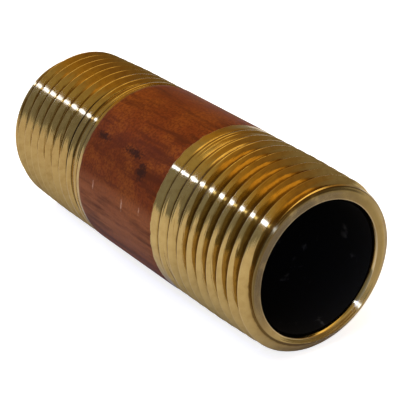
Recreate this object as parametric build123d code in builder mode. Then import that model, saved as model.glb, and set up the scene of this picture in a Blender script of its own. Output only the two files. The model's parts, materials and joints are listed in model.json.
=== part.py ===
"""Threaded pipe nipple: a 1/2 inch red brass pipe nipple with a taper thread at each end.

The nipple lies along X. The origin is on the axis of the pipe, midway between its two ends, and +Z is up.
It is one piece of pipe: turned, chamfered and threaded at both ends, and left plain in the middle.
Lengths are in millimetres. "Along" is a position on X, and "length" runs inwards from an end face.
"""

from build123d import *
from math import atan, cos, degrees, radians, tan
import os

inch = 25.4

# The pipe that the nipple is cut from.
pipe_diameter = 0.840 * inch
wall_thickness = 0.107 * inch
pipe_length = 2.0 * inch

# The thread: the American taper pipe thread, 14 to the inch.
pitch = inch / 14
taper_on_diameter = 1 / 16  # growth of the diameter per unit of length
flank_half_angle = 30
thread_height = 0.8 * pitch

# What is cut at each end.
full_thread_length = 9.0  # the grooves reach the root of the thread up to here
runout_length = 17.5  # the last groove is cut to no depth here
skimmed_length = 17.5  # the dark skin of the pipe is turned off up to here
skim_depth = 0.05
chamfer_length = 1.2
chamfer_depth = 0.6
ream_length = 0.45
ream_depth = 0.3

# Where each groove runs out through its end face: an angle about X, from +Y towards +Z.
right_start_angle = 259
left_start_angle = 0

# The cutter stands this far above the crests, and goes this far past the end of the groove.
cutter_clearance = 0.03 * pitch
lead_out_length = 0.5 * pitch

# Radii and positions that follow.
half_length = pipe_length / 2
pipe_radius = pipe_diameter / 2
bore_radius = pipe_radius - wall_thickness
skimmed_radius = pipe_radius - skim_depth
pitch_diameter_at_end = pipe_diameter - (0.05 * pipe_diameter / inch + 1.1) * pitch
root_radius_at_end = (pitch_diameter_at_end - thread_height) / 2
crest_radius_at_end = (pitch_diameter_at_end + thread_height) / 2
thread_slope = taper_on_diameter / 2
crest_taper_length = (skimmed_radius - crest_radius_at_end) / thread_slope
chamfer_radius = crest_radius_at_end + thread_slope * chamfer_length
face_radius = chamfer_radius - chamfer_depth

full_thread_end = half_length - full_thread_length
full_thread_end_radius = root_radius_at_end + thread_slope * full_thread_length
runout_slope = (pipe_radius - full_thread_end_radius) / (runout_length - full_thread_length)
runout_end = half_length - runout_length
cutter_end = half_length - runout_length - lead_out_length

# The cutter comes in from beyond the end face, by this much.
lead_in_length = 1.5 * pitch
cutter_start = half_length + lead_in_length
cutter_start_radius = root_radius_at_end - thread_slope * lead_in_length
cutter_height = thread_height + cutter_clearance
cutter_half_width = cutter_height * tan(radians(flank_half_angle))

# The unturned cutter starts at the bottom of the pipe, and turns back by this much to reach the end face.
cutter_face_angle = -90 - 360 * (cutter_start - half_length) / pitch


def helix_turns(start, end, start_radius, slope):
    """Return a right-hand helix about X, from start down to end, as a list of single turns."""
    cone_angle = degrees(atan(slope))
    turns = []
    along = start
    while along > end + 1e-6:
        advance = min(pitch, along - end)
        turns.append(
            Helix(
                pitch=pitch / cos(radians(cone_angle)),
                height=advance,
                radius=start_radius + slope * (start - along),
                center=(along, 0, 0),
                direction=(-1, 0, 0),
                cone_angle=cone_angle,
            )
        )
        along -= advance
    return turns


# The path of the thread's root is made outside a builder, which would join its turns into one edge.
root_path = Wire(helix_turns(cutter_start, cutter_end, cutter_start_radius, thread_slope))

with BuildPart() as thread_cutter:
    with BuildSketch(Plane.XZ):
        with BuildLine():
            Polyline(
                (cutter_start, -cutter_start_radius),
                (cutter_start + cutter_half_width, -cutter_start_radius - cutter_height),
                (cutter_start - cutter_half_width, -cutter_start_radius - cutter_height),
                close=True,
            )
        make_face()
    sweep(path=root_path, is_frenet=True, clean=False)
    # The chamfered lead of the cutting teeth keeps them off a cone, which rises to the surface of the pipe.
    with BuildSketch(Plane.XY):
        with BuildLine():
            Polyline(
                (cutter_end - pitch, 0),
                (full_thread_end + pitch, 0),
                (full_thread_end + pitch, full_thread_end_radius - runout_slope * pitch),
                (cutter_end - pitch, pipe_radius + runout_slope * (runout_end - cutter_end + pitch)),
                close=True,
            )
        make_face()
    revolve(axis=Axis.X, mode=Mode.SUBTRACT)

# The same right-hand thread serves both ends: turning it end over end keeps its hand.
right_cutter = thread_cutter.part.rotate(Axis.X, right_start_angle - cutter_face_angle)
left_cutter = thread_cutter.part.rotate(Axis.Z, 180).rotate(
    Axis.X, left_start_angle - (180 - cutter_face_angle)
)

with BuildPart() as pipe_nipple:
    with BuildSketch(Plane.XY):
        with BuildLine():
            Polyline(
                (0, bore_radius),
                (half_length - ream_length, bore_radius),
                (half_length, bore_radius + ream_depth),
                (half_length, face_radius),
                (half_length - chamfer_length, chamfer_radius),
                (half_length - crest_taper_length, skimmed_radius),
                (half_length - skimmed_length, skimmed_radius),
                (half_length - skimmed_length - skim_depth, pipe_radius),
                (0, pipe_radius),
            )
            mirror(about=Plane.YZ)
        make_face()
    revolve(axis=Axis.X)
    add(right_cutter, mode=Mode.SUBTRACT)
    add(left_cutter, mode=Mode.SUBTRACT)

pipe_nipple.part.label = "pipe_nipple"
os.makedirs("parts", exist_ok=True)
export_step(pipe_nipple.part, "parts/pipe_nipple.step")
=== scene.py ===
"""The look of a threaded pipe nipple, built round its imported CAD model.

The nipple lies along X with its middle at the origin. Everything is in metres, and angles about X run
from +Y towards +Z. An end is worked out once, as distances inwards from its face, and placed at both.
"""

import json
import logging
from dataclasses import dataclass
from enum import Enum
from math import cos, pi, radians, sin, tan
from typing import Any, Union

import bmesh
import bpy
import numpy as np
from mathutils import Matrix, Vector


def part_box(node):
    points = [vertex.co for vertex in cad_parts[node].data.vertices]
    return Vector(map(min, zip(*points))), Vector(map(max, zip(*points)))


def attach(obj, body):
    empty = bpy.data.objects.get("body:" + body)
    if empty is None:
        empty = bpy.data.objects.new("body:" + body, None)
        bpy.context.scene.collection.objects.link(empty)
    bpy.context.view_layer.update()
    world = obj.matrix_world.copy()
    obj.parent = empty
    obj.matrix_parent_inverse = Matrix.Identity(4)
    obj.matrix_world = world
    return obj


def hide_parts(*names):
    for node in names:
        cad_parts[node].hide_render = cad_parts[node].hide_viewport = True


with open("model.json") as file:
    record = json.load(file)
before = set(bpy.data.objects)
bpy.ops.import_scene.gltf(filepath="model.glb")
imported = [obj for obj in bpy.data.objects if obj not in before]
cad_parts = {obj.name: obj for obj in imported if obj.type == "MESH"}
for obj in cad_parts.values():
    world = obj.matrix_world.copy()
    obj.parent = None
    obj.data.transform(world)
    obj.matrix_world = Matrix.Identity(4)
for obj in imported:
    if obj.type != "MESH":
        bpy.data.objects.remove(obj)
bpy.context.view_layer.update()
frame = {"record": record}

log = logging.getLogger("pipe_nipple")

MM = 0.001
BODY = "root"
NODE = "pipe_nipple"
MARKS = "thread_marks"
Array = np.ndarray
Object = bpy.types.Object
Socket = bpy.types.NodeSocket
Material = bpy.types.Material
Colour = tuple[float, float, float]


def smooth_minimum(first: Array, second: Array, width: float) -> Array:
    """Return the smaller of two arrays, with the corner between them rounded.

    Where they differ by less than width, the square of what is left of it over four widths comes off.

    Args:
        first: one array of heights.
        second: the other.
        width: how far apart the two are where the rounding begins.

    Returns:
        The rounded smaller height at each place.
    """
    overlap = np.maximum(width - np.abs(first - second), 0.0)
    return np.minimum(first, second) - overlap * overlap / (4 * width)


def smooth_maximum(first: Array, second: Array, width: float) -> Array:
    """Return the larger of two arrays, with the corner between them rounded as smooth_minimum does."""
    return -smooth_minimum(-first, -second, width)


def grey(level: float) -> Colour:
    """Return a grey of one level."""
    return (level, level, level)


def put_in_scene(name: str, data: bpy.types.ID) -> Object:
    """Return a new object that shows the data, in the scene."""
    thing = bpy.data.objects.new(name, data)
    bpy.context.scene.collection.objects.link(thing)
    return thing


class Side(Enum):
    """An end of the nipple, by the sign of its X."""

    PLUS = 1
    MINUS = -1

    def local_angle(self, angle: Array) -> Array:
        """Return the angle about the end's own outward axis, as the end at +X would have it."""
        return angle if self is Side.PLUS else pi - angle


@dataclass(frozen=True)
class PipeSizes:
    """The sizes of the pipe, read from the frame, and how many columns of points go round it."""

    half_length: float
    radius: float
    bore_radius: float
    columns: int = 192

    @classmethod
    def from_frame(cls) -> "PipeSizes":
        """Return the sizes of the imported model, by its box and its record."""
        low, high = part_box(NODE)
        mounts = {mount["name"]: mount for mount in frame["record"]["mounts"]}
        return cls(
            half_length=(high.x - low.x) / 2,
            radius=min(-low.y, high.y, -low.z, high.z),
            bore_radius=mounts["through_bore"]["dims"]["r_mm"] * MM,
        )

    @property
    def angles(self) -> Array:
        """The angle about X of each column of points."""
        return np.arange(self.columns) * (2 * pi / self.columns)

    def ring(self, along: Union[float, Array], radius: Union[float, Array]) -> Array:
        """Return one row of points round the axis.

        Args:
            along: the position on X, one value or one for each column.
            radius: the distance from the axis, likewise.

        Returns:
            An array of columns by 3.
        """
        angles = self.angles
        along = np.broadcast_to(along, angles.shape)
        return np.stack([along, radius * np.cos(angles), radius * np.sin(angles)], axis=-1)


class Finish(Enum):
    """The finishes of the nipple's surface, in the order of its material slots."""

    TURNED = 0
    FACED = 1
    BORE = 2


@dataclass
class Patch:
    """A grid of points round the axis, one row after another along the section.

    Attributes:
        points: rows by columns by 3.
        finish: the finish of its faces.
        slip: how many rows on the last column joins the first, where the rows follow a thread round.
        marks: rows by columns by 3, how near each point is to a sharp crest, how deep it is in a
        groove and how much grime and painted shade it gets, each from 0 to 1.
    """

    points: Array
    finish: Finish
    slip: int = 0
    marks: Array | None = None

    def quads(self, start: int) -> Array:
        """Return the faces between neighbouring rows and columns.

        Args:
            start: the index of the patch's first point.

        Returns:
            An array of faces by 4, the indices of their corners.
        """
        rows, columns = self.points.shape[:2]
        index = start + np.arange(rows * columns).reshape(rows, columns)
        beside = np.roll(index, -1, axis=1)
        beside[:, -1] = index[np.clip(np.arange(rows) + self.slip, 0, rows - 1), 0]
        corners = [index[:-1], beside[:-1], beside[1:], index[1:]]
        return np.stack(corners, axis=-1).reshape(-1, 4)


@dataclass(frozen=True)
class TaperThread:
    """A right-hand taper pipe thread, with lengths measured inwards from its end face.

    Its groove is a V, cut to its full depth near the face. Further in, the chamfered lead of the
    cutting teeth leaves a cone in it, which rises until it meets the surface of the pipe.

    Attributes:
        start_angle: where about X the groove leaves the end face.
        skim_length: how far in the dark skin is turned off, which is most at skim_wander_angle.
        grime and painted shade: how thickly they lie in the grooves, and how much sooner they end on
            the near wall.
        allowance_in_pitches: how far the pitch diameter at the face is below the pipe's.
        corner: how broadly the edges of the groove are rounded, and rim_break those of the face.
    """

    pipe: PipeSizes
    side: Side
    start_angle: float
    skim_length: float
    skim_wander: float
    skim_wander_angle: float
    grime: float
    pitch: float = 25.4 / 14 * MM
    slope: float = 1 / 32
    height_in_pitches: float = 0.8
    flank_half_angle: float = radians(30)
    allowance_in_pitches: float = 0.05 * 0.84 + 1.1
    full_length: float = 9.0 * MM
    runout_length: float = 17.5 * MM
    skim_depth: float = 0.05 * MM
    skim_ramp: float = 0.15 * MM
    chamfer_length: float = 1.2 * MM
    chamfer_depth: float = 0.6 * MM
    ream_length: float = 0.45 * MM
    ream_depth: float = 0.3 * MM
    corner: float = 0.05 * MM
    rim_break: float = 0.06 * MM
    grime_fade: float = 0.35 * MM
    grime_lean: float = 5.0
    sight_on_floor: float = 0.66
    sight_up_flank: float = 0.24
    sight_past_floor: float = 0.64
    shallowest: float = 0.1 * MM
    crest_fade: float = 25.0
    groove_fade: float = 30.0
    length: float = 19.0 * MM

    # Where the rows of points stand in each stretch of a turn, as shares of its breadth.
    CREST_IN = np.array([0.0, 0.45, 0.85])
    FLANK = np.array([0.0, 0.07, 0.16, 0.5, 0.84, 0.93])
    BOTTOM = np.array([0.0, 0.1, 0.5, 0.9])
    CREST_OUT = np.array([0.0, 0.15, 0.55])
    STRETCHES = [CREST_IN, FLANK, BOTTOM, FLANK, CREST_OUT]

    # How many guesses settle a groove's edges, and how many turns the slanting rows need over.
    GUESSES = 8
    TURNS_BEFORE = 1
    TURNS_PAST = 4

    @property
    def root_at_face(self) -> float:
        """The radius of the thread's root at the end face."""
        pitch_radius = self.pipe.radius - self.allowance_in_pitches * self.pitch / 2
        return pitch_radius - self.height_in_pitches * self.pitch / 2

    @property
    def crest_at_face(self) -> float:
        """The radius of the thread's crest at the end face."""
        return self.root_at_face + self.height_in_pitches * self.pitch

    @property
    def face_radius(self) -> float:
        """The outer radius of the flat end face."""
        return self.crest_at_face + self.slope * self.chamfer_length - self.chamfer_depth

    @property
    def runout_slope(self) -> float:
        """How steeply the cone in the run-out rises."""
        rise = self.pipe.radius - self.root_at_face - self.slope * self.full_length
        return rise / (self.runout_length - self.full_length)

    def skim_end(self, angle: Array) -> Array:
        """Return how far in the dark skin is turned off: a circle that wanders in and out once."""
        return self.skim_length + self.skim_wander * np.cos(angle - self.skim_wander_angle)

    def blank_radius(self, distance: Array, angle: Array) -> Array:
        """Return the radius before the groove is cut.

        It is the lowest of the chamfer, the crests' taper and the skimmed pipe. Where the skimmed
        length ends, the skin comes back on a short ramp.

        Args:
            distance: how far in each place lies.
            angle: the angle about X.

        Returns:
            The radius at each place.
        """
        chamfer = self.face_radius + distance * self.chamfer_depth / self.chamfer_length
        skimmed = self.pipe.radius - self.skim_depth
        turned = np.minimum(self.crest_at_face + self.slope * distance, skimmed)
        turned = smooth_minimum(turned, chamfer, self.corner)
        ramp = np.clip((distance - self.skim_end(angle)) / self.skim_ramp, 0.0, 1.0)
        return turned + ramp * self.skim_depth

    def root_radius(self, distance: Array) -> Array:
        """Return the radius of the V's root, which follows the taper."""
        return self.root_at_face + self.slope * distance

    def cone_radius(self, distance: Array) -> Array:
        """Return the radius of the cone in the groove, which is the pipe's where the run-out ends."""
        return self.pipe.radius + self.runout_slope * (distance - self.runout_length)

    def groove_centre(self, turn: Array, angle: Array) -> Array:
        """Return how far in a turn of the groove lies, a pitch less for each turn about X."""
        return (turn - (angle - self.start_angle) / (2 * pi)) * self.pitch

    def groove_radius(self, distance: Array, angle: Array) -> Array:
        """Return the radius of the nearest turn of the groove: the V, or the cone where it is higher.

        The V rises from its root by the distance to one side over the tangent of the flank's angle.
        That distance is taken on a hyperbola, which rounds the root.

        Args:
            distance: how far in each place lies.
            angle: the angle about X.

        Returns:
            The radius at each place.
        """
        turn = np.round(distance / self.pitch + (angle - self.start_angle) / (2 * pi))
        centre = self.groove_centre(turn, angle)
        aside = np.hypot(distance - centre, self.corner) - self.corner
        vee = self.root_radius(centre) + aside / tan(self.flank_half_angle)
        return smooth_maximum(vee, self.cone_radius(distance), self.corner)

    def radius(self, distance: Array, angle: Array) -> Array:
        """Return the finished radius: the blank, or the groove where it is lower."""
        groove = self.groove_radius(distance, angle)
        return smooth_minimum(self.blank_radius(distance, angle), groove, self.corner)

    def edges(self, centre: Array, angle: Array) -> list[Array]:
        """Return where one turn of the groove has its four edges, from the face inwards.

        The near flank leaves the blank and meets the cone, and the far one leaves the cone and meets
        the blank. A flank's run is its height over the root times the tangent of its angle, and each
        guess goes back into the heights until it settles.

        Args:
            centre: how far in the turn's centre lies.
            angle: the angle about X.

        Returns:
            How far in each edge lies.
        """
        run = tan(self.flank_half_angle)
        half = self.pitch / 2
        root = self.root_radius(centre)
        near, far = centre - half, centre + half
        foot, toe = centre, centre
        for _ in range(self.GUESSES):
            near = centre - (self.blank_radius(near, angle) - root) * run
            far = centre + (self.blank_radius(far, angle) - root) * run
            foot = centre - np.maximum(self.cone_radius(foot) - root, 0.0) * run
            toe = centre + np.maximum(self.cone_radius(toe) - root, 0.0) * run
        above = self.blank_radius(near, angle) - self.pipe.radius
        end = self.runout_length + above / self.runout_slope
        near = np.clip(np.minimum(near, end), centre - half, centre + half)
        far = np.clip(np.minimum(far, end), near, centre + half)
        return [near, np.clip(foot, near, far), np.clip(toe, near, far), far]

    def grime_on(self, row: Array, edges: list[Array], centre: Array, angle: Array) -> Array:
        """Return how much grime and painted shade the rows of one turn get.

        Grime and painted shade lie thick in the foot of a groove's near wall, and are half gone
        where a slanting look past the next crest meets the cone, a share of the depth past the foot,
        or the far flank, a smaller share and one of the cone's breadth.

        Args:
            row: how far in each row lies.
            edges: how far in each edge of the groove lies.
            centre: how far in the turn's centre lies.
            angle: the angle about X.

        Returns:
            The grime and painted shade on each row, not yet kept between 0 and 1.
        """
        _, foot, toe, _ = edges
        floor = np.maximum(self.cone_radius(foot), self.root_radius(centre))
        deep = np.maximum(self.blank_radius(foot, angle) - floor, self.shallowest)
        on_floor = self.sight_on_floor * deep
        on_flank = self.sight_up_flank * deep + self.sight_past_floor * (toe - foot)
        hidden = np.minimum(on_floor, on_flank)
        fade = np.where(on_flank < on_floor, np.minimum(hidden, self.grime_fade), hidden) * self.grime
        aside = np.maximum(row - foot, self.grime_lean * (foot - row))
        return 0.5 + (hidden * self.grime - aside) / (2.0 * fade)

    def rows(self, angle: Array) -> tuple[Array, Array]:
        """Return rows of points that follow the crests and roots of the thread round.

        Args:
            angle: the angle about X of each column.

        Returns:
            How far in each row lies and how much grime and painted shade it gets, both as rows by
            columns.
        """
        rows, grime = [], []
        for turn in range(-self.TURNS_BEFORE, int(self.length / self.pitch) + self.TURNS_PAST):
            centre = self.groove_centre(np.full_like(angle, turn), angle)
            edges = self.edges(centre, angle)
            stops = [centre - self.pitch / 2, *edges, centre + self.pitch / 2]
            stretches = zip(stops[:-1], stops[1:], self.STRETCHES)
            row = np.concatenate([a + (b - a) * share[:, None] for a, b, share in stretches])
            rows.append(row)
            grime.append(self.grime_on(row, edges, centre, angle))
        rows = np.clip(np.concatenate(rows), self.rim_break, self.length)
        return rows, np.clip(np.concatenate(grime), 0.0, 1.0)

    def thread_patch(self) -> Patch:
        """Return the threaded outside, from the rim to just past the end of the skimmed length."""
        angle = self.side.local_angle(self.pipe.angles)
        distance, grime = self.rows(angle)
        radius = self.radius(distance, angle)
        along = self.side.value * (self.pipe.half_length - distance)
        points = np.stack([self.pipe.ring(x, r) for x, r in zip(along, radius)])
        depth = (self.blank_radius(distance, angle) - radius) / (self.height_in_pitches * self.pitch)
        sharp = np.clip((self.full_length - distance) / self.pitch, 0.0, 1.0)
        crest = np.clip(1.0 - depth * self.crest_fade, 0.0, 1.0) * sharp
        # Grime and painted shade fade out where the groove is shallow.
        grime = grime * np.clip(depth * self.groove_fade, 0.0, 1.0)
        marks = np.stack([crest, np.clip(depth, 0.0, 1.0), grime], axis=-1)
        rows_per_turn = sum(len(shares) for shares in self.STRETCHES)
        return Patch(points, Finish.TURNED, -self.side.value * rows_per_turn, marks)

    def face_patch(self) -> Patch:
        """Return the end face: the broken rim, the flat ring, its lip and the reamed mouth."""
        angle = self.side.local_angle(self.pipe.angles)
        broken, reamed, bore = self.rim_break, self.ream_length, self.pipe.bore_radius
        slope = self.ream_depth / reamed
        rim = self.radius(np.full_like(angle, broken), angle)
        lip = bore + self.ream_depth
        flat = rim - 1.6 * broken
        section = [
            (broken, rim),
            (0.35 * broken, rim - 0.25 * broken),
            (0.0, rim - broken),
            (0.0, flat),
            (0.0, flat + 0.5 * (lip - flat)),
            (0.0, lip + 1.4 * broken),
            (0.0, lip + 0.7 * broken),
            (0.3 * broken, lip + 0.1 * broken),
            (broken, lip - broken * slope),
            (0.5 * reamed, lip - 0.5 * reamed * slope),
            (reamed - broken, bore + broken * slope),
            (reamed + broken, bore),
        ]
        face = self.pipe.half_length
        rings = [self.pipe.ring(self.side.value * (face - d), r) for d, r in section]
        return Patch(np.stack(rings), Finish.FACED)


@dataclass(frozen=True)
class PlainMiddle:
    """The unthreaded middle of the pipe, and the bore that runs through it."""

    pipe: PipeSizes
    end: TaperThread
    outside_rows: int = 9
    bore_rows: int = 17

    def outside_patch(self) -> Patch:
        """Return the plain cylinder between the two threaded ends."""
        reach = self.pipe.half_length - self.end.length
        return self._wall(reach, self.pipe.radius, self.outside_rows, Finish.TURNED)

    def bore_patch(self) -> Patch:
        """Return the wall of the bore between the two reamed mouths."""
        reach = self.pipe.half_length - self.end.ream_length - self.end.rim_break
        return self._wall(reach, self.pipe.bore_radius, self.bore_rows, Finish.BORE)

    def _wall(self, reach: float, radius: float, rows: int, finish: Finish) -> Patch:
        """Return a cylinder that reaches as far on both sides of the middle."""
        rings = [self.pipe.ring(x, radius) for x in np.linspace(reach, -reach, rows)]
        return Patch(np.stack(rings), finish)


@dataclass
class NippleSurface:
    """The whole surface of the nipple as one closed mesh, sharp where it turns by crease_angle."""

    patches: list[Patch]
    weld: float = 1e-7
    crease_angle: float = radians(50)

    def triangles(self) -> tuple[Array, Array, Array, Array]:
        """Return the welded mesh.

        Points that share a place to within the weld distance become one, and a triangle that this
        leaves with fewer than three corners is dropped.

        Returns:
            The points, their marks, the triangles' corners as indices, and each triangle's finish.
        """
        points = np.concatenate([patch.points.reshape(-1, 3) for patch in self.patches])
        counts = [patch.points.shape[0] * patch.points.shape[1] for patch in self.patches]
        starts = np.cumsum([0] + counts)
        quads = [patch.quads(start) for patch, start in zip(self.patches, starts)]
        finishes = [patch.finish.value for patch in self.patches]
        finish = np.repeat(finishes, [2 * len(each) for each in quads])
        quads = np.concatenate(quads)
        corners = np.stack([quads[:, [0, 1, 2]], quads[:, [0, 2, 3]]], axis=1).reshape(-1, 3)
        keys = np.round(points / self.weld).astype(np.int64)
        _, first, place = np.unique(keys, axis=0, return_index=True, return_inverse=True)
        corners = place.reshape(-1)[corners]
        a, b, c = corners.T
        whole = (a != b) & (b != c) & (c != a)
        marks = [np.zeros_like(p.points) if p.marks is None else p.marks for p in self.patches]
        marks = np.concatenate([each.reshape(-1, 3) for each in marks])
        return points[first], marks[first], corners[whole], finish[whole]

    def build(self, name: str, materials: list[Material]) -> Object:
        """Return the surface as an object, its faces outwards and shaded smooth.

        Args:
            name: the object's name.
            materials: one for each finish, in order.

        Returns:
            The object, which is in the scene.
        """
        points, marks, corners, finish = self.triangles()
        mesh = bpy.data.meshes.new(name)
        mesh.vertices.add(len(points))
        mesh.vertices.foreach_set("co", points.astype(np.float32).ravel())
        mesh.loops.add(corners.size)
        mesh.loops.foreach_set("vertex_index", corners.astype(np.int32).ravel())
        mesh.polygons.add(len(corners))
        mesh.polygons.foreach_set("loop_start", np.arange(0, corners.size, 3, dtype=np.int32))
        mesh.update(calc_edges=True)
        mesh.polygons.foreach_set("material_index", finish.astype(np.int32))
        attribute = mesh.attributes.new(MARKS, "FLOAT_VECTOR", "POINT")
        attribute.data.foreach_set("vector", marks.astype(np.float32).ravel())
        for material in materials:
            mesh.materials.append(material)
        edit = bmesh.new()
        edit.from_mesh(mesh)
        bmesh.ops.recalc_face_normals(edit, faces=edit.faces)
        edit.to_mesh(mesh)
        edit.free()
        mesh.shade_smooth()
        mesh.set_sharp_from_angle(angle=self.crease_angle)
        mesh.validate()
        log.info("%s: %d points, %d triangles", name, len(mesh.vertices), len(mesh.polygons))
        return put_in_scene(name, mesh)


@dataclass(frozen=True)
class Grain:
    """A noise: how fine it is, how many finer layers it has, and how strong those are."""

    scale: float = 1.0
    detail: float = 2.0
    roughness: float = 0.5


@dataclass(frozen=True)
class Ramp:
    """A smooth rise from none where a value is low to an amount where it is high.

    Where low is the larger of the two, it rises as the value falls.
    """

    low: float
    high: float
    amount: float = 1.0


Value = Union["Number", float]


class Number:
    """A value in a material. An expression on it adds the Math nodes that work it out."""

    def __init__(self, graph: "Graph", socket: Socket) -> None:
        """Wrap the socket that gives the value."""
        self.graph = graph
        self.socket = socket

    def __add__(self, other: Value) -> "Number":
        """Return the sum."""
        return self.graph.math("ADD", self, other)

    def __sub__(self, other: Value) -> "Number":
        """Return the difference."""
        return self.graph.math("SUBTRACT", self, other)

    def __rsub__(self, other: Value) -> "Number":
        """Return the difference from a plain number."""
        return self.graph.math("SUBTRACT", other, self)

    def __mul__(self, other: Value) -> "Number":
        """Return the product."""
        return self.graph.math("MULTIPLY", self, other)

    def __truediv__(self, other: Value) -> "Number":
        """Return the quotient."""
        return self.graph.math("DIVIDE", self, other)

    def __abs__(self) -> "Number":
        """Return the size without its sign."""
        return self.graph.math("ABSOLUTE", self)


class Graph:
    """The nodes of one material or world."""

    def __init__(self, tree: bpy.types.NodeTree) -> None:
        """Start from an empty tree."""
        self.tree = tree
        tree.nodes.clear()

    def add(self, kind: str, settings: dict[str, Any] | None = None, **inputs: Any) -> bpy.types.Node:
        """Return a new node with its settings made and its sockets filled.

        Args:
            kind: the node's type.
            settings: attributes of the node, such as a Math node's operation.
            inputs: values or links by socket name, with _ for a space, or by place, as _0.

        Returns:
            The node.
        """
        node = self.tree.nodes.new(kind)
        for name, setting in (settings or {}).items():
            setattr(node, name, setting)
        for name, given in inputs.items():
            key = int(name[1:]) if name[1:].isdigit() else name.replace("_", " ")
            self.fill(node.inputs[key], given)
        return node

    def fill(self, socket: Socket, given: Any) -> None:
        """Link or set one input."""
        if isinstance(given, Number):
            given = given.socket
        if isinstance(given, Socket):
            self.tree.links.new(given, socket)
        else:
            is_colour = socket.type == "RGBA" and len(given) == 3
            socket.default_value = (*given, 1.0) if is_colour else given

    def math(self, operation: str, *values: Value) -> Number:
        """Return the result of a Math node."""
        inputs = {f"_{place}": value for place, value in enumerate(values)}
        node = self.add("ShaderNodeMath", {"operation": operation}, **inputs)
        return Number(self, node.outputs[0])

    def vector(self, operation: str, *values: Any) -> Socket:
        """Return the vector that a Vector Math node gives."""
        inputs = {f"_{place}": value for place, value in enumerate(values)}
        return self.add("ShaderNodeVectorMath", {"operation": operation}, **inputs).outputs["Vector"]

    def scaled(self, vector: Any, factor: Value) -> Socket:
        """Return a vector times a number."""
        node = self.add("ShaderNodeVectorMath", {"operation": "SCALE"}, _0=vector, Scale=factor)
        return node.outputs["Vector"]

    def combine(self, x: Value, y: Value, z: Value) -> Socket:
        """Return a vector from three numbers."""
        return self.add("ShaderNodeCombineXYZ", X=x, Y=y, Z=z).outputs[0]

    def split(self, vector: Any) -> list[Number]:
        """Return the three numbers in a vector."""
        node = self.add("ShaderNodeSeparateXYZ", Vector=vector)
        return [Number(self, output) for output in node.outputs]

    def ramp(self, value: Value, ramp: Ramp) -> Number:
        """Return how far a value has climbed a ramp."""
        settings = {"interpolation_type": "SMOOTHSTEP"}
        low, high = sorted((ramp.low, ramp.high))
        node = self.add("ShaderNodeMapRange", settings, Value=value, From_Min=low, From_Max=high)
        risen = Number(self, node.outputs[0])
        return (risen if ramp.low < ramp.high else 1.0 - risen) * ramp.amount

    def between(self, value: Value, ramps: tuple[Ramp, Ramp]) -> Number:
        """Return how far a value has climbed both of two ramps, which face each other."""
        return self.ramp(value, ramps[0]) * self.ramp(value, ramps[1])

    def noise(self, vector: Any, grain: Grain) -> Number:
        """Return a noise of about 0.5, over a vector."""
        inputs = {"Scale": grain.scale, "Detail": grain.detail, "Roughness": grain.roughness}
        return Number(self, self.add("ShaderNodeTexNoise", Vector=vector, **inputs).outputs[0])

    def mix(self, factor: Value, first: Any, second: Any) -> Socket:
        """Return a colour between two."""
        settings = {"data_type": "RGBA"}
        return self.add("ShaderNodeMix", settings, _0=factor, _6=first, _7=second).outputs[2]

    def surface(self, **inputs: Any) -> None:
        """Add the Principled shader with its inputs, and the material's output."""
        shader = self.add("ShaderNodeBsdfPrincipled", **inputs)
        self.add("ShaderNodeOutputMaterial", Surface=shader.outputs[0])


def new_material(name: str) -> tuple[Material, Graph]:
    """Return a new material and its empty graph."""
    material = bpy.data.materials.new(name)
    material.use_nodes = True
    return material, Graph(material.node_tree)


@dataclass(frozen=True)
class Blemish:
    """A stain or a nick in the skin: where its middle is, and its half sizes."""

    along: float
    angle: float
    length: float
    width: float

    EDGE = Ramp(1.5, 0.3)
    FACING = Ramp(0.0, MM)


@dataclass(frozen=True)
class Band:
    """A band along the pipe: the angle about X where it is full, and the cosine away where it ends."""

    angle: float
    reach: float


@dataclass(frozen=True)
class ToolMarks:
    """A turning tool's marks: their width, their length round the axis, and how far they tilt."""

    width: float
    length: float
    tilt: float
    detail: float = 2.0


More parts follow.
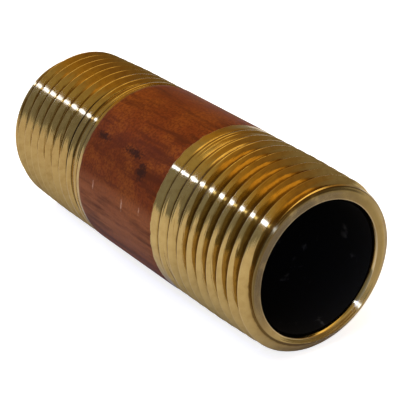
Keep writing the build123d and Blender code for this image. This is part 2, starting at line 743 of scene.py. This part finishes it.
@dataclass
class TurnedFrame:
    """The places and directions on a turned surface: about the axis, outwards and along the section.

    The normal is kept in the plane of the axis, as if the cuts were rings and had no lead.
    """

    graph: Graph

    def __post_init__(self) -> None:
        """Read the place and work out the directions."""
        graph = self.graph
        self.position = graph.add("ShaderNodeTexCoord").outputs["Object"]
        self.x, self.y, self.z = graph.split(self.position)
        self.radius = graph.math("SQRT", self.y * self.y + self.z * self.z)
        cosine, sine = self.y / self.radius, self.z / self.radius
        self.round = graph.combine(0.0, 0.0 - sine, cosine)
        self.radial = graph.combine(0.0, cosine, sine)
        normal = graph.add("ShaderNodeNewGeometry").outputs["Normal"]
        lead = graph.vector("PROJECT", normal, self.round)
        self.normal = graph.vector("NORMALIZE", graph.vector("SUBTRACT", normal, lead))
        self.section = graph.vector("CROSS_PRODUCT", self.normal, self.round)

    def tool_marks(self, across: Number, marks: ToolMarks) -> Number:
        """Return the tilt that a tool's marks give, by a noise over the section, drawn out round it."""
        vector = self.graph.combine(across / marks.width, self.y / marks.length, self.z / marks.length)
        return (self.graph.noise(vector, Grain(detail=marks.detail)) - 0.5) * marks.tilt

    def tilted_normal(self, direction: Any, tilt: Value) -> Socket:
        """Return the normal leaned towards a direction by a tilt in radians or so."""
        leaned = self.graph.vector("ADD", self.normal, self.graph.scaled(direction, tilt))
        return self.graph.vector("NORMALIZE", leaned)

    def towards(self, angle: float) -> Number:
        """Return how far out towards an angle about X a place lies, in metres."""
        return self.y * cos(angle) + self.z * sin(angle)

    def across(self, angle: float) -> Number:
        """Return how far to one side of an angle about X a place lies, in metres."""
        return self.z * cos(angle) - self.y * sin(angle)

    def band(self, band: Band) -> Number:
        """Return 1 in the middle of a band, fading to 0 at its edges."""
        return self.graph.ramp(self.towards(band.angle) / self.radius, Ramp(band.reach, 1.0))

    def spot(self, blemish: Blemish, wander: Value) -> Number:
        """Return 1 inside a blemish and 0 outside it.

        Args:
            blemish: where it is and how large.
            wander: how far its edge strays, as a share of its size.

        Returns:
            How far inside it each place is.
        """
        graph = self.graph
        along = (self.x - blemish.along) / blemish.length
        across = self.across(blemish.angle) / blemish.width
        reach = graph.math("SQRT", along * along + across * across) + wander
        facing = graph.ramp(self.towards(blemish.angle), Blemish.FACING)
        return graph.ramp(reach, Blemish.EDGE) * facing


@dataclass(frozen=True)
class BrassColours:
    """The colours of the cut brass, the face, the skin with what lies on it, and the bore, with
    painted shade, painted highlights and a painted sheen among them.
    """

    cut: Colour = (0.56, 0.415, 0.165)
    # Painted shade deep in the grooves.
    deep: Colour = (0.30, 0.18, 0.035)
    # Worn brass, also laid on as a plain darkening towards -X.
    worn: Colour = (0.34, 0.21, 0.065)
    crest: Colour = (0.78, 0.64, 0.40)
    # Painted highlight on the sharp crests.
    root: Colour = (0.10, 0.05, 0.012)
    # The dark of grime and painted shade in the grooves' feet, also used for the dark ring at the
    # face's rim.
    face: Colour = (0.43, 0.32, 0.125)
    lip: Colour = (0.70, 0.58, 0.36)
    # Painted highlight on the rounded lip at the mouth of the bore.
    tarnish: Colour = (0.12, 0.085, 0.032)
    # Painted shade on the upper side of the +X face.
    skin: Colour = (0.185, 0.037, 0.007)
    # Darker skin, for streaks and grain, and for a band of painted shade.
    skin_dark: Colour = (0.085, 0.018, 0.005)
    skin_warm: Colour = (0.25, 0.062, 0.009)
    # Painted sheen on the skin, the floor's reflection.
    rubbed: Colour = (0.34, 0.125, 0.052)
    stain: Colour = (0.028, 0.010, 0.006)
    speck: Colour = (0.50, 0.30, 0.20)
    # Near black: the bore's oxide darkened with painted shade.
    soot: Colour = (0.006, 0.006, 0.006)
    dust: Colour = (0.06, 0.06, 0.057)


@dataclass(frozen=True)
class SkinLook:
    """How the dark skin looks: frayed, mottled, streaked, stained and nicked, with a painted sheen
    and a band of painted shade.
    """

    changeover: Ramp = Ramp(-1 * MM, 1 * MM)
    frayed: Grain = Grain(900.0, 4.0)
    fray_length: float = 0.5 * MM
    border: Ramp = Ramp(-0.04 * MM, 0.06 * MM)
    patches: Grain = Grain(260.0, 5.0, 0.6)
    streaks: Grain = Grain(1.0, 4.0, 0.6)
    drawn: tuple[float, float] = (120.0, 900.0)
    grain: Grain = Grain(3400.0, 3.0)
    warm: Ramp = Ramp(0.38, 0.68)
    streaked: Ramp = Ramp(0.54, 0.34, 0.85)
    grained: Ramp = Ramp(0.60, 0.38, 0.6)
    # A painted sheen, the floor's reflection, on the skin about 185°, streaked by noise.
    rubbed_band: Band = Band(radians(185), 0.92)
    rubbed: Ramp = Ramp(0.25, 0.65, 0.65)
    # Painted shade in a band along the skin about 141°, patchy by noise.
    sooted_band: Band = Band(radians(141), 0.965)
    sooted: Ramp = Ramp(0.66, 0.40, 0.55)
    grain_wander: float = 2.6
    streak_wander: float = 2.0
    stained: float = 0.85
    stains: tuple[Blemish, ...] = (
        Blemish(-5.8 * MM, radians(139), 1.1 * MM, 0.5 * MM),
        Blemish(0.6 * MM, radians(138), 1.5 * MM, 0.5 * MM),
        Blemish(3.4 * MM, radians(146), 0.7 * MM, 0.9 * MM),
    )
    nicked: float = 0.9
    nicks: tuple[Blemish, ...] = (
        Blemish(-4.7 * MM, radians(171), 0.12 * MM, 0.5 * MM),
        Blemish(1.6 * MM, radians(172), 0.14 * MM, 0.6 * MM),
        Blemish(5.2 * MM, radians(169), 0.14 * MM, 0.5 * MM),
    )


@dataclass(frozen=True)
class ThreadLook:
    """How the cut threads look: tool-marked, worn and grimy with painted shade, more so in the
    shallow run-out, and with a painted highlight on the sharp crests.
    """

    fine: ToolMarks = ToolMarks(0.015 * MM, 3 * MM, 0.35)
    coarse: ToolMarks = ToolMarks(0.10 * MM, 7 * MM, 0.16)
    wear: Grain = Grain(1100.0, 4.0, 0.6)
    worn: Ramp = Ramp(0.35, 0.75, 0.36)
    # A plain darkening towards -X, in the worn colour.
    dull: Ramp = Ramp(6 * MM, -14 * MM, 0.28)
    runout: Ramp = Ramp(0.8, 0.1)
    # Grime and painted shade in the grooves' feet, with added painted shade in the full V grooves.
    vee_grime: float = 0.12
    grime_wander: float = 0.3
    grimy: Ramp = Ramp(0.40, 0.58)
    dirt: float = 0.72
    runout_dirt: float = 0.26
    # Painted shade deep in the grooves, more in the run-out.
    tarnished: Ramp = Ramp(0.0, 0.5)
    deep: float = 0.3
    runout_deep: float = 0.3
    # How strong the painted highlight on the sharp crests is.
    bright_crest: float = 0.35
    hollow: float = 0.3
    skin_dielectric: float = 0.75
    roughness: float = 0.065
    skin_roughness: float = 0.42
    crest_roughness: float = 0.12
    dirt_roughness: float = 0.2
    wear_roughness: float = 0.03
    specular: float = 0.08


@dataclass(frozen=True)
class FaceLook:
    """How the faced ends look: ringed by the tool, with a painted highlight at the lip, painted
    shade on the upper side and a dark ring inside the rim.

    The dome turns from leaning inwards to leaning outwards between two shares of the ring's width.
    """

    rings: ToolMarks = ToolMarks(0.05 * MM, 9 * MM, 1.3, 3.0)
    wear: Grain = Grain(500.0, 4.0, 0.6)
    dome: tuple[float, float] = (0.48, 0.8)
    dome_inward: float = 0.52
    worn: Ramp = Ramp(0.46, 0.70, 0.5)
    # Painted shade on the face's upper side, patchy by noise, at the +X end only.
    tarnish_band: Band = Band(radians(125), -0.4)
    tarnish: Ramp = Ramp(0.2, 0.5, 0.8)
    tarnished_end: Ramp = Ramp(0.0, MM)
    # The band of painted highlight on the rounded lip.
    lip: tuple[Ramp, Ramp] = (Ramp(0.16 * MM, 0.04 * MM, 0.8), Ramp(-0.12 * MM, -0.02 * MM))
    # A dark ring just inside the rim of the face.
    rim: Ramp = Ramp(-0.10 * MM, -0.02 * MM, 0.6)
    roughness: float = 0.07
    wear_roughness: float = 0.05


@dataclass(frozen=True)
class BoreLook:
    """How the wall of the bore looks: near black, its oxide darkened with painted shade, with a
    little dust where two noises are high.
    """

    flecks: Grain = Grain(420.0, 3.0, 0.6)
    flecked: Ramp = Ramp(0.62, 0.74)
    haze: Grain = Grain(160.0, 3.0)
    hazy: Ramp = Ramp(0.42, 0.62)
    roughness: float = 0.7
    specular: float = 0.1


@dataclass(frozen=True)
class RedBrass:
    """Red brass pipe: its dark skin in the middle, and bright cut metal where it was turned."""

    pipe: PipeSizes
    plus: TaperThread
    minus: TaperThread
    colours: BrassColours = BrassColours()
    skin_look: SkinLook = SkinLook()
    thread_look: ThreadLook = ThreadLook()
    face_look: FaceLook = FaceLook()
    bore_look: BoreLook = BoreLook()

    def materials(self) -> list[Material]:
        """Return one material for each finish, in order."""
        return [self.turned(), self.faced(), self.bore()]

    def skim_border(self, at: TurnedFrame, thread: TaperThread) -> Number:
        """Return how far in the skin begins at one end, as TaperThread.skim_end has it."""
        angle = thread.skim_wander_angle
        swing = at.y * (thread.side.value * cos(angle)) + at.z * sin(angle)
        return swing / at.radius * thread.skim_wander + thread.skim_length

    def skin(self, at: TurnedFrame) -> Number:
        """Return 1 where the dark skin of the pipe is left, and 0 where it is turned off."""
        graph, look = at.graph, self.skin_look
        at_plus = graph.ramp(at.x, look.changeover)
        border = self.skim_border(at, self.minus)
        border = border + (self.skim_border(at, self.plus) - border) * at_plus
        border = border + (graph.noise(at.position, look.frayed) - 0.5) * look.fray_length
        return graph.ramp(self.pipe.half_length - abs(at.x) - border, look.border)

    def skin_colour(self, at: TurnedFrame) -> Socket:
        """Return the colour of the skin, with its painted sheen and its band of painted shade."""
        graph, colours, look = at.graph, self.colours, self.skin_look
        along, about = look.drawn
        patches = graph.noise(at.position, look.patches)
        streaks = graph.noise(graph.combine(at.x * along, at.y * about, at.z * about), look.streaks)
        grain = graph.noise(at.position, look.grain)
        # Painted sheen about 185°, streaked by noise.
        rubbed = at.band(look.rubbed_band) * graph.ramp(streaks, look.rubbed)
        # Painted shade in a band about 141°, patchy by noise.
        sooted = at.band(look.sooted_band) * graph.ramp(patches, look.sooted)
        colour = graph.mix(graph.ramp(patches, look.warm), colours.skin, colours.skin_warm)
        colour = graph.mix(graph.ramp(streaks, look.streaked), colour, colours.skin_dark)
        colour = graph.mix(graph.ramp(grain, look.grained), colour, colours.skin_dark)
        colour = graph.mix(rubbed, colour, colours.rubbed)
        colour = graph.mix(sooted, colour, colours.skin_dark)
        wander = (grain - 0.5) * look.grain_wander + (streaks - 0.5) * look.streak_wander
        for stain in look.stains:
            colour = graph.mix(at.spot(stain, wander) * look.stained, colour, colours.stain)
        for nick in look.nicks:
            colour = graph.mix(at.spot(nick, wander) * look.nicked, colour, colours.speck)
        return colour

    def turned(self) -> Material:
        """Return the outside: threads, run-out and the plain skin between."""
        material, graph = new_material("threaded_red_brass")
        colours, look = self.colours, self.thread_look
        at = TurnedFrame(graph)
        marks = graph.add("ShaderNodeAttribute", {"attribute_name": MARKS}).outputs["Vector"]
        crest, depth, grime = graph.split(marks)
        skin = self.skin(at)
        wear = graph.noise(at.position, look.wear)
        runout = graph.ramp(depth, look.runout)
        # Grime and painted shade darken the feet of the grooves to the root colour, and the full V
        # grooves get painted shade.
        grimy = grime + (1.0 - runout) * look.vee_grime + (wear - 0.5) * look.grime_wander
        dirt = graph.ramp(grimy, look.grimy) * (runout * look.runout_dirt + look.dirt)
        # Real wear, and a plain darkening towards -X, both in the worn colour.
        worn = graph.ramp(wear, look.worn) + graph.ramp(at.x, look.dull)
        # Painted shade towards the feet of the grooves.
        deep = graph.ramp(grime, look.tarnished) * (runout * look.runout_deep + look.deep)
        colour = graph.mix(worn, colours.cut, colours.worn)
        colour = graph.mix(deep, colour, colours.deep)
        colour = graph.mix(dirt, colour, colours.root)
        # A painted highlight along the sharp crests.
        colour = graph.mix(crest * look.bright_crest, colour, colours.crest)
        colour = graph.mix(skin, colour, self.skin_colour(at))
        across = at.x + at.radius
        tilt = at.tool_marks(across, look.fine) + at.tool_marks(across, look.coarse)
        tilt = tilt + grime * graph.math("SIGN", at.x) * look.hollow
        roughness = skin * look.skin_roughness + look.roughness + crest * look.crest_roughness
        roughness = roughness + dirt * look.dirt_roughness + wear * look.wear_roughness
        graph.surface(
            Base_Color=colour,
            Metallic=1.0 - skin * look.skin_dielectric,
            Roughness=roughness,
            Specular_IOR_Level=look.specular,
            Normal=at.tilted_normal(at.section, tilt * (1.0 - skin)),
        )
        return material

    def faced(self) -> Material:
        """Return the end faces and the reamed mouths of the bore."""
        material, graph = new_material("faced_red_brass")
        colours, look = self.colours, self.face_look
        at = TurnedFrame(graph)
        wear = graph.noise(at.position, look.wear)
        lip = self.pipe.bore_radius + self.plus.ream_depth
        rim = self.plus.face_radius
        # Painted shade on the upper side of the +X face, patchy by noise.
        tarnish = at.band(look.tarnish_band) * graph.ramp(wear, look.tarnish)
        tarnish = tarnish * graph.ramp(at.x, look.tarnished_end)
        colour = graph.mix(graph.ramp(wear, look.worn), colours.face, colours.worn)
        colour = graph.mix(tarnish, colour, colours.tarnish)
        # A painted highlight on the rounded lip.
        colour = graph.mix(graph.between(at.radius - lip, look.lip), colour, colours.lip)
        # A dark ring just inside the rim of the face.
        colour = graph.mix(graph.ramp(at.radius - rim, look.rim), colour, colours.root)
        inner, outer = (lip + (rim - lip) * share for share in look.dome)
        dome = graph.ramp(at.radius, Ramp(inner, outer)) - look.dome_inward
        graph.surface(
            Base_Color=colour,
            Metallic=1.0,
            Roughness=wear * look.wear_roughness + look.roughness,
            Normal=at.tilted_normal(at.radial, dome + at.tool_marks(at.radius, look.rings)),
        )
        return material

    def bore(self) -> Material:
        """Return the wall of the bore."""
        material, graph = new_material("bore_red_brass")
        look = self.bore_look
        at = TurnedFrame(graph)
        flecks = graph.ramp(graph.noise(at.position, look.flecks), look.flecked)
        haze = graph.ramp(graph.noise(at.position, look.haze), look.hazy)
        graph.surface(
            # The bore's oxide darkened with painted shade, with a little dust.
            Base_Color=graph.mix(flecks * haze, self.colours.soot, self.colours.dust),
            Metallic=0.0,
            Roughness=look.roughness,
            Specular_IOR_Level=look.specular,
        )
        return material


@dataclass(frozen=True)
class Nipple:
    """The threaded pipe nipple: one piece of pipe, with a taper thread at each end."""

    pipe: PipeSizes
    plus: TaperThread
    minus: TaperThread
    middle: PlainMiddle

    @classmethod
    def from_pipe(cls, pipe: PipeSizes) -> "Nipple":
        """Return the nipple whose grooves leave the end faces where the solid's do."""
        plus = TaperThread(
            pipe,
            Side.PLUS,
            start_angle=radians(259),
            skim_length=17.65 * MM,
            skim_wander=0.35 * MM,
            skim_wander_angle=radians(80),
            grime=1.0,
        )
        minus = TaperThread(
            pipe,
            Side.MINUS,
            start_angle=radians(180),
            skim_length=17.2 * MM,
            skim_wander=0.45 * MM,
            skim_wander_angle=radians(-45),
            grime=0.5,
        )
        return cls(pipe, plus, minus, PlainMiddle(pipe, plus))

    def build(self) -> None:
        """Build the nipple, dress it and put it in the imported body's place."""
        ends = [self.plus, self.minus]
        patches = [end.thread_patch() for end in ends]
        patches += [end.face_patch() for end in ends]
        patches += [self.middle.outside_patch(), self.middle.bore_patch()]
        finish = RedBrass(self.pipe, self.plus, self.minus)
        piece = NippleSurface(patches).build("nipple_surface", finish.materials())
        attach(piece, BODY)
        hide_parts(NODE)


@dataclass(frozen=True)
class Studio:
    """The plain studio: a white floor, a soft lamp, and the light of the surroundings.

    The floor has one brightness to the camera, and another in the metal's reflections, which is
    painted dim near the nipple as a painted shadow and grows to both sides. Around it, by Z, by X
    and by the angle about X, stand the grey of the table, bands of colour overhead with a warm
    panel among them, a plain grey in front, and a strip light along the nipple.
    """

    floor_height: float
    floor_size: float = 3.0
    floor_grey: float = 0.6
    floor_roughness: float = 0.8
    seen: float = 0.82
    mirrored: float = 0.24
    # The floor's brightness in reflections rises over this distance to either side: a painted shadow
    # near the nipple.
    clear: Ramp = Ramp(0.0, 24 * MM)
    lamp_place: tuple[float, float, float] = (0.05, -0.15, 0.5)
    lamp_size: float = 0.4
    lamp_power: float = 1.5
    strip: Colour = (4.0, 5.3, 12.0)
    strip_angle: float = radians(132.7)
    strip_offset: float = -0.091
    strip_edge: Ramp = Ramp(0.0231, 0.0189)
    strip_foot: Ramp = Ramp(0.0, 0.02)
    strip_end: Ramp = Ramp(-0.85, -0.8)
    horizon: Ramp = Ramp(0.0, 0.05)
    table_level: float = 0.7
    front: Ramp = Ramp(radians(122), radians(130))
    front_level: float = 0.30
    overhead: tuple[tuple[float, Colour], ...] = (
        (radians(14), (0.30, 0.25, 0.18)),
        (radians(28), (0.28, 0.18, 0.07)),
        (radians(42), (0.31, 0.17, 0.045)),
        (radians(64), (0.48, 0.27, 0.05)),
        (radians(95), (0.46, 0.36, 0.17)),
    )
    panel: Colour = (1.8, 1.3, 0.5)
    panel_sides: tuple[Ramp, Ramp] = (Ramp(radians(45), radians(62)), Ramp(radians(108), radians(92)))
    panel_ends: tuple[Ramp, Ramp] = (Ramp(-0.50, -0.38), Ramp(0.2, 0.1))

    def build(self) -> None:
        """Build the floor, the lamp and the surroundings."""
        self.floor()
        self.lamp()
        self.world()

    def lamp(self) -> None:
        """Add the soft lamp overhead, which lights the scene but isn't mirrored in it."""
        light = bpy.data.lights.new("soft_lamp", "AREA")
        light.size = self.lamp_size
        light.energy = self.lamp_power
        lamp = put_in_scene("soft_lamp", light)
        lamp.location = self.lamp_place
        lamp.rotation_euler = Vector(self.lamp_place).to_track_quat("Z", "Y").to_euler()
        lamp.visible_glossy = False

    def floor(self) -> None:
        """Add the pale floor, which stays white but for the nipple's shadow, with a painted shadow near
        the nipple in reflections.
        """
        half = self.floor_size / 2
        corners = [(-half, -half), (half, -half), (half, half), (-half, half)]
        mesh = bpy.data.meshes.new("floor")
        mesh.from_pydata([(x, y, self.floor_height) for x, y in corners], [], [(0, 1, 2, 3)])
        floor = put_in_scene("floor", mesh)
        material, graph = new_material("pale_floor")
        path = graph.add("ShaderNodeLightPath")
        _, aside, _ = graph.split(graph.add("ShaderNodeTexCoord").outputs["Object"])
        # A painted shadow: the floor is dimmer in reflections near the nipple.
        mirrored = graph.ramp(abs(aside), self.clear) * self.mirrored
        seen = Number(graph, path.outputs["Is Camera Ray"]) * self.seen
        seen = seen + Number(graph, path.outputs["Is Glossy Ray"]) * mirrored
        seen = seen + Number(graph, path.outputs["Is Transmission Ray"]) * mirrored
        graph.surface(
            Base_Color=grey(self.floor_grey),
            Roughness=self.floor_roughness,
            Emission_Color=graph.scaled(grey(1.0), seen),
            Emission_Strength=1.0,
        )
        mesh.materials.append(material)

    def world(self) -> None:
        """Make the surroundings, which the camera itself sees as plain white."""
        world = bpy.data.worlds.new("studio")
        bpy.context.scene.world = world
        world.use_nodes = True
        graph = Graph(world.node_tree)
        x, y, z = graph.split(graph.add("ShaderNodeTexCoord").outputs["Generated"])
        angle = graph.math("ARCTAN2", z, y)
        colour = self.overhead[0][1]
        for (low, _), (high, nearer) in zip(self.overhead[:-1], self.overhead[1:]):
            colour = graph.mix(graph.ramp(angle, Ramp(low, high)), colour, nearer)
        panel = graph.between(angle, self.panel_sides) * graph.between(x, self.panel_ends)
        colour = graph.mix(panel, colour, self.panel)
        colour = graph.mix(graph.ramp(angle, self.front), colour, grey(self.front_level))
        colour = graph.mix(graph.ramp(z, self.horizon), grey(self.table_level), colour)
        across = z * cos(self.strip_angle) - y * sin(self.strip_angle)
        strip = graph.ramp(abs(across - self.strip_offset), self.strip_edge)
        strip = strip * graph.ramp(z, self.strip_foot) * graph.ramp(x, self.strip_end)
        colour = graph.mix(strip, colour, self.strip)
        camera = graph.add("ShaderNodeLightPath").outputs["Is Camera Ray"]
        colour = graph.mix(Number(graph, camera), colour, grey(1.0))
        shader = graph.add("ShaderNodeBackground", Color=colour, Strength=1.0)
        graph.add("ShaderNodeOutputWorld", Surface=shader.outputs[0])


@dataclass(frozen=True)
class Viewpoint:
    """The camera, by the point it looks at and the angles it looks from."""

    aim: tuple[float, float, float] = (1.44 * MM, 0.95 * MM, -1.27 * MM)
    azimuth: float = radians(54.439)
    elevation: float = radians(26.058)
    distance: float = 171.47 * MM
    lens: float = 125.99
    clip_start: float = 0.01

    def build(self) -> None:
        """Add the camera, which becomes the scene's."""
        camera = bpy.data.cameras.new("camera")
        camera.lens = self.lens
        camera.clip_start = self.clip_start
        viewer = put_in_scene("camera", camera)
        flat = cos(self.elevation)
        back = Vector((sin(self.azimuth) * flat, -cos(self.azimuth) * flat, sin(self.elevation)))
        viewer.location = Vector(self.aim) + back * self.distance
        viewer.rotation_euler = back.to_track_quat("Z", "Y").to_euler()
        bpy.context.scene.camera = viewer


def main() -> None:
    """Build the nipple and the studio round it."""
    logging.basicConfig(level=logging.INFO, format="%(name)s: %(message)s")
    bpy.context.scene.view_settings.view_transform = "Standard"
    Viewpoint().build()
    pipe = PipeSizes.from_frame()
    Nipple.from_pipe(pipe).build()
    Studio(floor_height=-pipe.radius).build()


if __name__ == "__main__":
    main()
